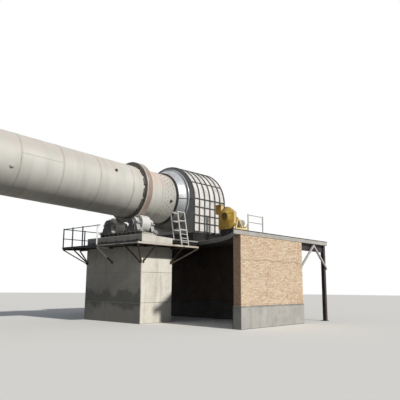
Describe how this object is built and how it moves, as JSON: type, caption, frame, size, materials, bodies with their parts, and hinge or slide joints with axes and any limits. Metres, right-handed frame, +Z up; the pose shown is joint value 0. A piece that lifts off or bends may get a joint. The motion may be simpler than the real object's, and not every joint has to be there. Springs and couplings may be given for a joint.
{
  "type": "rotary kiln",
  "caption": "Sloping rotary kiln on two piers with tyres, support rollers, girth gear drive, discharge hood on a burner platform and feed housing.",
  "frame": {"origin": "on the ground under the middle of the discharge tyre, at the middle of the discharge pier's foot", "axes": "+X along the kiln to the discharge hood, +Y to the side away from the blower, +Z up"},
  "size_m": [30.5056, 13.42, 9.5127],
  "materials": {
    "concrete": "stained cast concrete",
    "cap_concrete": "pale cast concrete",
    "slab_concrete": "grey concrete",
    "brick": "tan brick with mortar",
    "dark_steel": "dark grey paint, dusty",
    "black_steel": "black paint",
    "maroon_steel": "dark maroon paint, dusty",
    "bearing_paint": "blue grey paint, dusty",
    "rusty_steel": "rusted steel",
    "rail_paint": "dark blue paint",
    "grey_steel": "grey paint, scuffed",
    "white_panel": "white painted sheet",
    "galvanised": "galvanised sheet",
    "black_seal": "black, greasy",
    "yellow_paint": "yellow paint",
    "motor_paint": "grey paint, dusty",
    "machine_blue": "blue paint",
    "housing_paint": "pale grey paint",
    "frame_blue": "blue grey paint",
    "shell_paint": "warm cream grey paint with rust stains",
    "tyre_steel": "worn and rusted cast steel",
    "gear_steel": "greased cast steel",
    "roller_steel": "polished rolling face"
  },
  "bodies": {
    "root": {"pier_discharge": "concrete", "pier_feed": "concrete", "pier_caps": "cap_concrete", "drive_pier": "concrete", "roller_frames": "dark_steel", "roller_bearings": "bearing_paint", "walkway_decks": "rail_paint", "walkway_brackets": "rail_paint", "walkway_handrails": "rail_paint", "platform_slab": "slab_concrete", "brick_walls": "brick", "platform_posts": "maroon_steel", "discharge_collar": "dark_steel", "wall_plinth": "slab_concrete", "platform_braces": "grey_steel", "platform_rail": "grey_steel", "hood_base_frame": "black_steel", "hood_front_plate": "dark_steel", "hood_casing": "white_panel", "hood_back_wall": "dark_steel", "hood_bands": "dark_steel", "inlet_sleeve": "galvanised", "end_seals": "black_seal", "burner_port": "dark_steel", "access_stand": "grey_steel", "blower_casing": "yellow_paint", "blower_stand": "black_steel", "blower_frame": "yellow_paint", "blower_motor": "motor_paint", "pinion_bearings": "bearing_paint", "gearbox": "machine_blue", "drive_motor": "machine_blue", "feed_housing": "housing_paint", "feed_hopper": "housing_paint", "feed_chute": "galvanised", "feed_frame": "frame_blue"},
    "kiln": {"kiln_shell": "shell_paint", "tyre_discharge": "tyre_steel", "tyre_feed": "tyre_steel", "tyre_pads": "rusty_steel", "girth_gear": "gear_steel", "gear_springs": "rusty_steel"},
    "roller_discharge_near": {"roller_discharge_near": "roller_steel"},
    "roller_discharge_far": {"roller_discharge_far": "roller_steel"},
    "roller_feed_near": {"roller_feed_near": "roller_steel"},
    "roller_feed_far": {"roller_feed_far": "roller_steel"},
    "pinion": {"pinion": "gear_steel"}
  },
  "joints": [
    {"name": "kiln_turn", "type": "hinge", "parent": "root", "child": "kiln", "pos_m": [0, 0, 6.05], "axis": [0.9993, 0, -0.0361], "continuous": true},
    {"name": "roller_discharge_near_turn", "type": "hinge", "parent": "root", "child": "roller_discharge_near", "pos_m": [-0.0585, -0.9351, 4.4313], "axis": [0.9993, 0, -0.0361], "continuous": true},
    {"name": "roller_discharge_far_turn", "type": "hinge", "parent": "root", "child": "roller_discharge_far", "pos_m": [-0.0585, 0.9351, 4.4313], "axis": [0.9993, 0, -0.0361], "continuous": true},
    {"name": "roller_feed_near_turn", "type": "hinge", "parent": "root", "child": "roller_feed_near", "pos_m": [-16.5477, -0.9351, 5.0273], "axis": [0.9993, 0, -0.0361], "continuous": true},
    {"name": "roller_feed_far_turn", "type": "hinge", "parent": "root", "child": "roller_feed_far", "pos_m": [-16.5477, 0.9351, 5.0273], "axis": [0.9993, 0, -0.0361], "continuous": true},
    {"name": "pinion_turn", "type": "hinge", "parent": "root", "child": "pinion", "pos_m": [-14.1451, 1.2605, 5.0581], "axis": [0.9993, 0, -0.0361], "continuous": true}
  ],
  "couplings": [
    {"joint": "roller_discharge_near_turn", "follows": "kiln_turn", "ratio": -3.675},
    {"joint": "roller_discharge_far_turn", "follows": "kiln_turn", "ratio": -3.675},
    {"joint": "roller_feed_near_turn", "follows": "kiln_turn", "ratio": -3.675},
    {"joint": "roller_feed_far_turn", "follows": "kiln_turn", "ratio": -3.675},
    {"joint": "pinion_turn", "follows": "kiln_turn", "ratio": -6}
  ]
}
